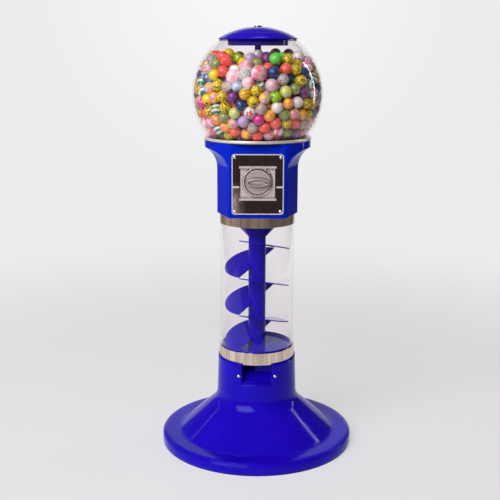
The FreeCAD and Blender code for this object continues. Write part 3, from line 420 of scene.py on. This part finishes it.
# Larger pale balls that lie at the front of the heap: mm across, above the globe's middle, and radius
PALE_BALLS = ((-54, 42, 17.5), (2, 50, 18.5), (-26, 66, 15), (30, 24, 15.5), (-22, 30, 14))
PALE_COUNT = len(PALE_BALLS)
WALL_ROOM = 3.4 * MM
FLOOR_ROOM = 3 * MM
MIDDLE_BAND = 0.2 * MM
GLOBE_LOW, GLOBE_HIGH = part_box("globe")
GLOBE_IN = (GLOBE_HIGH.x - GLOBE_LOW.x) / 2 - WALL_ROOM
RING_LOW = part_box("globe_ring")[0]
SLEEVE_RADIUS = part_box("rod_sleeve")[1].x
HEAP_FLOOR = RING_LOW.z + FLOOR_ROOM
START_TOP = 0.62 * GLOBE_IN
# Settling: steps, sink per step, share of the steps that sink, and share of an overlap that is pushed away
SETTLE_STEPS = 420
SINK = 0.9 * MM
SINK_SHARE = 0.8
PUSH = 0.38
# Balls that can be seen: depth behind the globe's wall or under the top of the heap, and the ball, counted
# from the highest, that marks this top
SEEN_DEPTH = 3.4 * BALL
TOP_DEPTH = 3 * BALL
TOP_RANK = 60
random = np.random.default_rng(SEED)


def globe_middle():
    """Height of the widest part of the globe, from its own mesh."""
    points = np.array([v.co for v in nodes["globe"].data.vertices])
    wide = np.hypot(points[:, 0], points[:, 1])
    return float(points[wide > wide.max() - MIDDLE_BAND][:, 2].mean())


def start_heap(middle):
    """Loose starting places inside the globe, and a radius for each ball."""
    places = []
    while len(places) < HEAP_COUNT:
        spot = random.uniform(-GLOBE_IN, GLOBE_IN, 3)
        if np.linalg.norm(spot) < GLOBE_IN - BALL and spot[2] < START_TOP:
            places.append(spot + (0, 0, middle))
    places = np.array(places)
    radii = BALL + BALL_SPREAD * random.uniform(*SPREAD_RANGE, HEAP_COUNT)
    for index, pale_ball in enumerate(PALE_BALLS):
        across, rise, radius = (size * MM for size in pale_ball)
        forward = math.sqrt((GLOBE_IN - radius) ** 2 - across ** 2 - rise ** 2)
        places[index] = (across, -forward, middle + rise)
        radii[index] = radius
    return places, radii


def settle(places, radii, middle):
    """Let the balls sink and push one another apart until they lie still."""
    reach = radii[:, None] + radii[None, :]
    centre = np.array((0, 0, middle))
    wall = GLOBE_IN - radii
    clear = SLEEVE_RADIUS + radii
    pinned = places[:PALE_COUNT].copy()
    for step in range(SETTLE_STEPS):
        places[:, 2] -= SINK * max(0.0, 1 - step / (SINK_SHARE * SETTLE_STEPS))
        gap = places[:, None, :] - places[None, :, :]
        apart = np.sqrt((gap ** 2).sum(2)) + np.eye(len(places))
        push = np.clip(reach - apart, 0, None)
        np.fill_diagonal(push, 0)
        places += PUSH * (gap / apart[:, :, None] * push[:, :, None]).sum(1)
        out = places - centre
        far = np.linalg.norm(out, axis=1)
        places = centre + out * np.minimum(1, wall / far)[:, None]
        around = np.hypot(places[:, 0], places[:, 1])
        inside = around < clear
        places[inside, :2] *= (clear[inside] / np.maximum(around[inside], MM))[:, None]
        places[:, 2] = np.maximum(places[:, 2], HEAP_FLOOR + radii)
        places[:PALE_COUNT] = pinned
    return places


def shown(places, middle):
    """Balls near the globe wall or on top of the heap, which are the ones that can be seen."""
    depth = GLOBE_IN - np.linalg.norm(places - (0, 0, middle), axis=1)
    top = np.sort(places[:, 2])[-TOP_RANK]
    seen = (depth < SEEN_DEPTH) | (places[:, 2] > top - TOP_DEPTH)
    seen[:PALE_COUNT] = True
    return seen


# Shape of one ball, with a fine moulding seam: angles in radians, rise as a share of the radius
BALL_TURNS = 26
BALL_LEVELS = 14
SEAM_HALF = 0.05
SEAM_CLEAR = 0.1
SEAM_RISE = 0.012


def ball_profile():
    """Angles from pole to pole, each with its radius."""
    half = math.pi / 2
    levels = np.linspace(0, math.pi, BALL_LEVELS + 1)
    angles = [a for a in levels if abs(a - half) > SEAM_CLEAR] + [half - SEAM_HALF, half, half + SEAM_HALF]
    return [(a, 1 + SEAM_RISE * (a == half)) for a in sorted(angles)]


def ball_shape():
    """Unit ball: points and faces, closed at both poles."""
    profile = ball_profile()[1:-1]
    turns = [2 * math.pi * i / BALL_TURNS for i in range(BALL_TURNS)]
    points = [
        (r * math.sin(a) * math.cos(t), r * math.sin(a) * math.sin(t), r * math.cos(a))
        for a, r in profile for t in turns
    ]
    top = len(points)
    last = top - BALL_TURNS
    points += [(0, 0, 1), (0, 0, -1)]
    faces = []
    for i in range(BALL_TURNS):
        j = (i + 1) % BALL_TURNS
        faces.append((top, i, j))
        faces.append((last + j, last + i, top + 1))
        for low in range(0, last, BALL_TURNS):
            faces.append((low + i, low + BALL_TURNS + i, low + BALL_TURNS + j, low + j))
    return np.array(points), faces


UNIT_POINTS, UNIT_FACES = ball_shape()
UNIT_COUNT = len(UNIT_POINTS)


def random_turn():
    """Random rotation matrix, from a random quaternion."""
    q = random.normal(size=4)
    w, x, y, z = q / np.linalg.norm(q)
    return np.array((
        (1 - 2 * (y * y + z * z), 2 * (x * y - z * w), 2 * (x * z + y * w)),
        (2 * (x * y + z * w), 1 - 2 * (x * x + z * z), 2 * (y * z - x * w)),
        (2 * (x * z - y * w), 2 * (y * z + x * w), 1 - 2 * (x * x + y * y)),
    ))


def hold_values(mesh, name, kind, field, values):
    """Give the mesh a value for each of its points."""
    held = mesh.attributes.new(name, kind, "POINT")
    held.data.foreach_set(field, values.astype(np.float32).ravel())


def smooth_mesh(name, points, faces):
    """Mesh with smooth shading."""
    mesh = bpy.data.meshes.new(name)
    mesh.from_pydata(points, [], faces)
    mesh.polygons.foreach_set("use_smooth", [True] * len(mesh.polygons))
    return mesh


def ball_group(name, places, radii, finish):
    """One piece with all balls of a kind; each point holds its place on its own ball and the ball's tone."""
    points = []
    faces = []
    for index, (spot, radius) in enumerate(zip(places, radii)):
        points.append(UNIT_POINTS @ random_turn().T * radius + spot)
        faces += [tuple(v + index * UNIT_COUNT for v in face) for face in UNIT_FACES]
    mesh = smooth_mesh(name, np.concatenate(points).tolist(), faces)
    count = len(places)
    tone = random.uniform(0, 1, count)
    hold_values(mesh, "ball_spot", "FLOAT_VECTOR", "vector", np.tile(UNIT_POINTS, (count, 1)))
    hold_values(mesh, "ball_tone", "FLOAT", "value", np.repeat(tone, UNIT_COUNT))
    mesh.materials.append(finish)
    piece = add_piece(name, mesh)
    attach(piece, "stand")
    return piece


# Depth to which light enters the softer balls, and its share for red, green and blue
GLOW_DEPTH = 6 * MM
GLOW_SHARES = (1, 0.8, 0.6)
# Patterns of the balls, in units of a ball's radius
TONE_SHIFT = 7.0
RIBS = 5
PETALS = 5
PETAL_INNER = 0.30
PETAL_LENGTH = 0.35
HEART_RADIUS = 0.22
FLECK_RINGS = 3.7
SWIRL_RANGE = (0.32, 0.68)


def held_value(tree, name, output):
    """Value that the mesh holds for each of its points."""
    made = put(tree, "Attribute")
    made.attribute_name = name
    return made.outputs[output]


def ball_place(tree):
    """Place on the ball itself, whose seam lies level."""
    return held_value(tree, "ball_spot", "Vector")


def ball_space(tree):
    """Place on the ball itself, moved for each ball so that no two look alike."""
    shift = number(tree, "MULTIPLY", held_value(tree, "ball_tone", "Fac"), TONE_SHIFT)
    return worked(tree, "VectorMath", "ADD", (ball_place(tree), shift))["Vector"]


def angle_around(tree, place):
    """Angle around the ball's upright axis."""
    return number(tree, "ARCTAN2", place["Y"], place["X"])


def cells(tree, scale, feature="F1"):
    """Distances in a cell pattern on the ball."""
    made = put(tree, "TexVoronoi", Vector=ball_space(tree), Scale=scale)
    made.feature = feature
    return made.outputs["Distance"]


def ball_base(name, rough=0.28, glow=0.0):
    """Rubber that every kind of ball starts from; glow is the share of light that enters it."""
    material, tree, shader = new_material(name)
    fill(tree, shader,
         Roughness=rough,
         Coat_Weight=0.15,
         Coat_Roughness=0.12,
         Subsurface_Weight=glow,
         Subsurface_Radius=GLOW_SHARES,
         Subsurface_Scale=GLOW_DEPTH)
    return material, tree, shader


def net_ball(name, skin, line):
    """Skin covered with a net of lines, as on a melon."""
    material, tree, shader = ball_base(name)
    net = cells(tree, scale=1.9, feature="DISTANCE_TO_EDGE")
    fill(tree, shader, Base_Color=pick(tree, net, line, skin, edge=0.075, soft=0.03))
    return material


def rib_ball(name, skin, line):
    """Lengthwise stripes from pole to pole."""
    material, tree, shader = ball_base(name)
    turn = angle_around(tree, split(tree, ball_place(tree)))
    wave = number(tree, "SINE", number(tree, "MULTIPLY", turn, RIBS))
    stripe = number(tree, "ABSOLUTE", wave)
    fill(tree, shader, Base_Color=pick(tree, stripe, line, skin, edge=0.22, soft=0.10))
    return material


def spot_ball(name, skin, spot):
    """Round dark spots on a plain skin."""
    material, tree, shader = ball_base(name)
    fill(tree, shader, Base_Color=pick(tree, cells(tree, scale=2.0), spot, skin, edge=0.32, soft=0.03))
    return material


def wave_ball(name, first, second):
    """Bent stripes of two colours."""
    material, tree, shader = ball_base(name)
    wave = put(tree, "TexWave", Vector=ball_space(tree), Scale=0.40, Distortion=2.5, Detail=1.0)
    fill(tree, shader, Base_Color=pick(tree, wave.outputs["Fac"], first, second, edge=0.5, soft=0.06))
    return material


def half_ball(name, first, second):
    """Two halves of different colours that meet at the seam."""
    material, tree, shader = ball_base(name)
    place = split(tree, ball_place(tree))
    level = spread(tree, place["Z"], low=0.0, high=1.0, start=-1.0, end=1.0)
    fill(tree, shader, Base_Color=pick(tree, level, first, second, edge=0.5, soft=0.012))
    return material


def flower_ball(name, skin, petal, heart):
    """A flower of five petals at each pole."""
    material, tree, shader = ball_base(name)
    place = split(tree, ball_place(tree))
    wave = number(tree, "COSINE", number(tree, "MULTIPLY", angle_around(tree, place), PETALS / 2))
    lobes = number(tree, "ABSOLUTE", wave)
    outline = number(tree, "MULTIPLY_ADD", lobes, PETAL_LENGTH, PETAL_INNER)
    rise = number(tree, "MULTIPLY", place["Z"], place["Z"])
    side = number(tree, "SQRT", number(tree, "SUBTRACT", 1.0, rise))
    flower = mixed(tree, number(tree, "GREATER_THAN", outline, side), skin, petal)
    core = number(tree, "LESS_THAN", side, HEART_RADIUS)
    fill(tree, shader, Base_Color=mixed(tree, core, flower, heart))
    return material


def swirl_ball(name, colours, scale=0.8, bend=1.2, glow=0.0):
    """Marbled rubber of several colours."""
    material, tree, shader = ball_base(name, glow=glow)
    swirl = noise(tree, ball_space(tree), scale, detail=2.0, bend=bend)
    stops = list(zip(np.linspace(*SWIRL_RANGE, len(colours)), colours))
    fill(tree, shader, Base_Color=ramp(tree, swirl, stops))
    return material


def glow_ball(name, pale, deep):
    """Tinted see-into rubber with cloudy depth."""
    material, tree, shader = ball_base(name, rough=0.16, glow=0.6)
    cloud = noise(tree, ball_space(tree), scale=1.3)
    fill(tree, shader, Base_Color=tones(tree, cloud, deep, pale, start=0.35, end=0.65))
    return material


def fleck_ball(name, skin, fleck, scale, through=0.0):
    """Flecks and rings of a second colour in plain or clear rubber."""
    material, tree, shader = ball_base(name, rough=0.2)
    rings = number(tree, "FRACT", number(tree, "MULTIPLY", cells(tree, scale), FLECK_RINGS))
    fill(tree, shader,
         Base_Color=pick(tree, rings, fleck, skin, edge=0.42, soft=0.10),
         Transmission_Weight=through,
         IOR=1.4)
    return material


# Kinds of ball with their share of the heap
KINDS = {
    "yellow_net": (net_ball("ball_yellow_net", YELLOW, OLIVE_LINE), 17),
    "gold_rib": (rib_ball("ball_gold_rib", GOLD, OLIVE_LINE), 5),
    "yellow_plain": (glow_ball("ball_yellow_plain", YELLOW, GOLD), 2),
    "lime_spot": (spot_ball("ball_lime_spot", LIME, BLACK), 4),
    "green_glow": (glow_ball("ball_green_glow", PALE_GREEN, BRIGHT_GREEN), 4),
    "coral_glow": (glow_ball("ball_coral_glow", SALMON, CORAL), 13),
    "navy": (glow_ball("ball_navy", STEEL_BLUE, NAVY), 7),
    "mint_wave": (wave_ball("ball_mint_wave", TEAL, WHITE), 7),
    "pink_wave": (wave_ball("ball_pink_wave", PINK, WHITE), 7),
    "green_wave": (wave_ball("ball_green_wave", MINT, YELLOW), 4),
    "purple_half": (half_ball("ball_purple_half", PURPLE, MAGENTA), 5),
    "lilac_half": (half_ball("ball_lilac_half", LILAC, WHITE), 5),
    "flower": (flower_ball("ball_flower", WHITE, MAGENTA, YELLOW), 4),
    "daisy": (flower_ball("ball_daisy", YELLOW, GOLD, BLACK), 3),
    "swirl": (swirl_ball("ball_swirl", (ORANGE, YELLOW, PINK, SKY, WHITE)), 9),
    "orange_swirl": (swirl_ball("ball_orange_swirl", (ORANGE, SALMON, YELLOW, CORAL), scale=1.0), 7),
    "sky": (glow_ball("ball_sky", SKY, STEEL_BLUE), 3),
    "khaki": (glow_ball("ball_khaki", KHAKI, MOSS), 7),
    "maroon": (swirl_ball("ball_maroon", (MAROON, PURPLE, MAGENTA)), 5),
    "sand": (fleck_ball("ball_sand", SAND_PALE, SAND, scale=1.7), 6),
    "clear": (fleck_ball("ball_clear", WHITE, GREY, scale=1.3, through=0.25), 6),
    "pale_pink": (swirl_ball("ball_pale_pink", (SHELL, PALE_PINK, SHELL, PINK, SALMON), scale=1.1, bend=1.5,
                             glow=0.3), 4),
}

# Balls against the front of the globe that stand out: kind, mm across and mm above the globe's middle
STANDING_OUT = (
    ("yellow_net", -88, 24), ("yellow_net", -89, -2), ("yellow_net", -65, -22), ("yellow_net", -16, -20),
    ("yellow_net", 92, 74), ("yellow_net", 98, 22), ("yellow_net", 82, 104), ("yellow_net", 65, -70),
    ("yellow_net", -120, -30), ("yellow_net", 112, -44), ("gold_rib", -22, 12), ("lime_spot", 33, -5),
    ("green_glow", 58, 106), ("green_glow", 48, 88), ("green_glow", 83, 42), ("green_wave", 67, 22),
    ("coral_glow", -84, 100), ("coral_glow", -92, 116), ("coral_glow", 66, 68), ("coral_glow", 8, 62),
    ("coral_glow", 44, -56), ("coral_glow", -52, -72), ("coral_glow", 8, -74), ("coral_glow", 88, -54),
    ("navy", -41, -4), ("navy", 25, 46), ("navy", 110, 42), ("navy", -125, 45), ("mint_wave", 2, 28),
    ("mint_wave", -104, -20), ("mint_wave", -130, -4), ("sky", -106, 34), ("purple_half", -62, 38),
    ("maroon", -66, 6), ("lilac_half", 88, -26), ("flower", 40, 20), ("flower", -128, 62), ("khaki", 84, -2),
    ("khaki", 66, -42), ("khaki", -76, -36), ("sand", 10, -28), ("sand", 13, -48), ("clear", -28, 40),
    ("clear", 56, 48), ("clear", -104, 76), ("swirl", 5, 0), ("swirl", -112, 8), ("swirl", -56, -52),
    ("pink_wave", 38, -34), ("pink_wave", -10, -50), ("orange_swirl", -38, -36), ("orange_swirl", 62, -20),
    ("orange_swirl", -78, -64), ("orange_swirl", -100, -46), ("daisy", -105, 60), ("flower", 96, 104),
    ("maroon", 12, 122), ("maroon", 40, 120), ("yellow_plain", -60, 104), ("yellow_plain", -38, 108),
    ("lilac_half", -34, -64), ("flower", -12, -44), ("maroon", 40, 70), ("mint_wave", 118, 18),
)
# Choice of these balls: furthest place back, weight of that place, and distance given to taken balls
STANDING_BACK = 0.3 * GLOBE_IN
NEARNESS = 0.25
FAR_OFF = 1.0


def kind_of(places, middle):
    """Kind of each ball: drawn by share, then set for the balls that stand out."""
    names = list(KINDS)
    shares = np.array([share for finish, share in KINDS.values()], float)
    kinds = random.choice(len(names), len(places), p=shares / shares.sum())
    kinds[:PALE_COUNT] = names.index("pale_pink")
    free = places[:, 1] < STANDING_BACK
    free[:PALE_COUNT] = False
    for name, across, rise in STANDING_OUT:
        aside = np.hypot(places[:, 0] - across * MM, places[:, 2] - middle - rise * MM)
        nearest = np.argmin(np.where(free, aside + NEARNESS * places[:, 1], FAR_OFF))
        kinds[nearest] = names.index(name)
        free[nearest] = False
    return kinds


def build_balls():
    """Settle the heap, and make one piece of each kind of ball in place of the CAD's group."""
    middle = globe_middle()
    places, radii = start_heap(middle)
    places = settle(places, radii, middle)
    keep = shown(places, middle)
    places = places[keep]
    radii = radii[keep]
    kinds = kind_of(places, middle)
    pieces = []
    for index, name in enumerate(KINDS):
        mine = kinds == index
        pieces.append(ball_group("balls_" + name, places[mine], radii[mine], KINDS[name][0]))
    for piece in pieces:
        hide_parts("bouncy_balls")


build_balls()

# Paper sweep: pale floor that curves up into a wall behind the object
SWEEP_FRONT = -0.9
SWEEP_BEND = 2.2
SWEEP_RADIUS = 0.8
SWEEP_BACK = SWEEP_BEND + SWEEP_RADIUS
SWEEP_TOP = 2.5
SWEEP_HALF = 1.8
SWEEP_STEPS = 16
FLOOR_PALE = (0.80, 0.79, 0.83, 1)
PAPER_TINT = (1.0, 0.997, 1.012, 1)
# Lit background: brightest place on the wall, its level there, the fall per metre and the least level
GLOW_PLACE = (-0.05, SWEEP_BACK, 1.35)
GLOW_PEAK = 0.955
GLOW_FALL = 0.095
GLOW_LEAST = 0.84
GLOW_REACH = (GLOW_PEAK - GLOW_LEAST) / GLOW_FALL
# Share of the lit background near the object, and the distances between which it grows to all
GLOW_NEAR = 0.60
FADE_START = 0.8
FADE_END = 2.4


def sweep_mesh():
    """Floor, bend and wall as one smooth strip."""
    bend = [math.pi / 2 * i / SWEEP_STEPS for i in range(SWEEP_STEPS + 1)]
    profile = [(SWEEP_FRONT, 0.0)]
    profile += [(SWEEP_BEND + SWEEP_RADIUS * math.sin(a), SWEEP_RADIUS * (1 - math.cos(a))) for a in bend]
    profile.append((SWEEP_BACK, SWEEP_TOP))
    points = [(x, y, z) for y, z in profile for x in (-SWEEP_HALF, SWEEP_HALF)]
    faces = [(2 * i, 2 * i + 1, 2 * i + 3, 2 * i + 2) for i in range(len(profile) - 1)]
    return smooth_mesh("sweep", points, faces)


def pale_paper():
    """Paper that keeps the shadow near the object and shows the lit background further out."""
    material, tree, shader = new_material("pale_paper")
    fill(tree, shader, Base_Color=FLOOR_PALE, Roughness=0.7, Specular_IOR_Level=0.15)
    place = object_place(tree)
    fade = spread(tree, vector_length(tree, place), GLOW_NEAR, 1.0, FADE_START, FADE_END)
    fade.node.interpolation_type = "SMOOTHSTEP"
    level = spread(tree, distance(tree, place, GLOW_PLACE), GLOW_PEAK, GLOW_LEAST, 0.0, GLOW_REACH)
    glow = put(tree, "Emission", Color=PAPER_TINT, Strength=level)
    path = put(tree, "LightPath").outputs
    mirrored = number(tree, "MAXIMUM", path["Is Glossy Ray"], path["Is Transmission Ray"])
    seen = number(tree, "MAXIMUM", path["Is Camera Ray"], mirrored)
    share = number(tree, "MULTIPLY", fade, seen)
    show_mix(tree, share, shader.outputs["BSDF"], glow.outputs["Emission"])
    return material


paper = sweep_mesh()
paper.materials.append(pale_paper())
sweep = add_piece("sweep", paper)

# Studio room: tones from left to right, and strength from front to back
ROOM_ACROSS = (
    (0.0, (0.46, 0.39, 0.35, 1)),
    (0.12, (0.26, 0.22, 0.21, 1)),
    (0.35, (0.25, 0.215, 0.205, 1)),
    (0.50, (0.28, 0.24, 0.23, 1)),
    (0.65, (0.20, 0.175, 0.165, 1)),
    (0.80, (0.12, 0.11, 0.10, 1)),
    (1.0, (0.13, 0.12, 0.11, 1)),
)
ROOM_DEPTH = (
    (0.60, (1, 1, 1, 1)),
    (0.72, (0.7, 0.7, 0.7, 1)),
)


def studio_room():
    """World whose light depends on the direction only."""
    world = bpy.data.worlds.new("studio")
    world.use_nodes = True
    tree = world.node_tree
    direction = split(tree, put(tree, "TexCoord").outputs["Generated"])
    across = spread(tree, direction["X"], low=0.0, high=1.0, start=-1.0, end=1.0)
    ahead = spread(tree, direction["Y"], low=0.0, high=1.0, start=-1.0, end=1.0)
    fill(tree, first_of(tree, "BACKGROUND"),
         Color=ramp(tree, across, ROOM_ACROSS),
         Strength=ramp(tree, ahead, ROOM_DEPTH))
    return world


def lamp(name, place, target, size, power):
    """Soft box at a place, turned to a target."""
    data = bpy.data.lights.new(name, "AREA")
    data.shape = "RECTANGLE"
    data.size, data.size_y = size
    data.energy = power
    made = add_piece(name, data)
    made.location = place
    made.rotation_euler = (Vector(target) - Vector(place)).to_track_quat("-Z", "Y").to_euler()


scene.world = studio_room()

# Lamps, turned to the middle of the machine or to its lid
MIDDLE = (0, 0, 0.55)
LID_TOP = (0, 0, 0.98)
lamp("strip_left", place=(-1.75, 1.0, 1.2), target=MIDDLE, size=(0.05, 1.5), power=0.8)
lamp("strip_right", place=(1.75, 0.75, 1.2), target=MIDDLE, size=(0.08, 1.5), power=5.5)
lamp("front_card", place=(-1.9, -2.7, 2.7), target=MIDDLE, size=(3.0, 2.6), power=160)
lamp("top_strip", place=(-0.1, 0.95, 3.0), target=LID_TOP, size=(0.9, 0.1), power=3)

# Camera at the viewing angle of the photo
CAMERA_PLACE = Vector((-0.0172, -2.245, 0.973))
CAMERA_PITCH = math.radians(12.45)
CAMERA_ROLL = math.radians(0.14)
CAMERA_LENS = 68.6
CAMERA_SENSOR = 36.0
camera_data = bpy.data.cameras.new("camera")
camera_data.lens = CAMERA_LENS
camera_data.sensor_width = CAMERA_SENSOR
camera = add_piece("camera", camera_data)
aim = Matrix.Rotation(math.pi / 2 - CAMERA_PITCH, 4, "X") @ Matrix.Rotation(CAMERA_ROLL, 4, "Z")
camera.matrix_world = Matrix.Translation(CAMERA_PLACE) @ aim
scene.camera = camera
scene.view_settings.view_transform = "Standard"
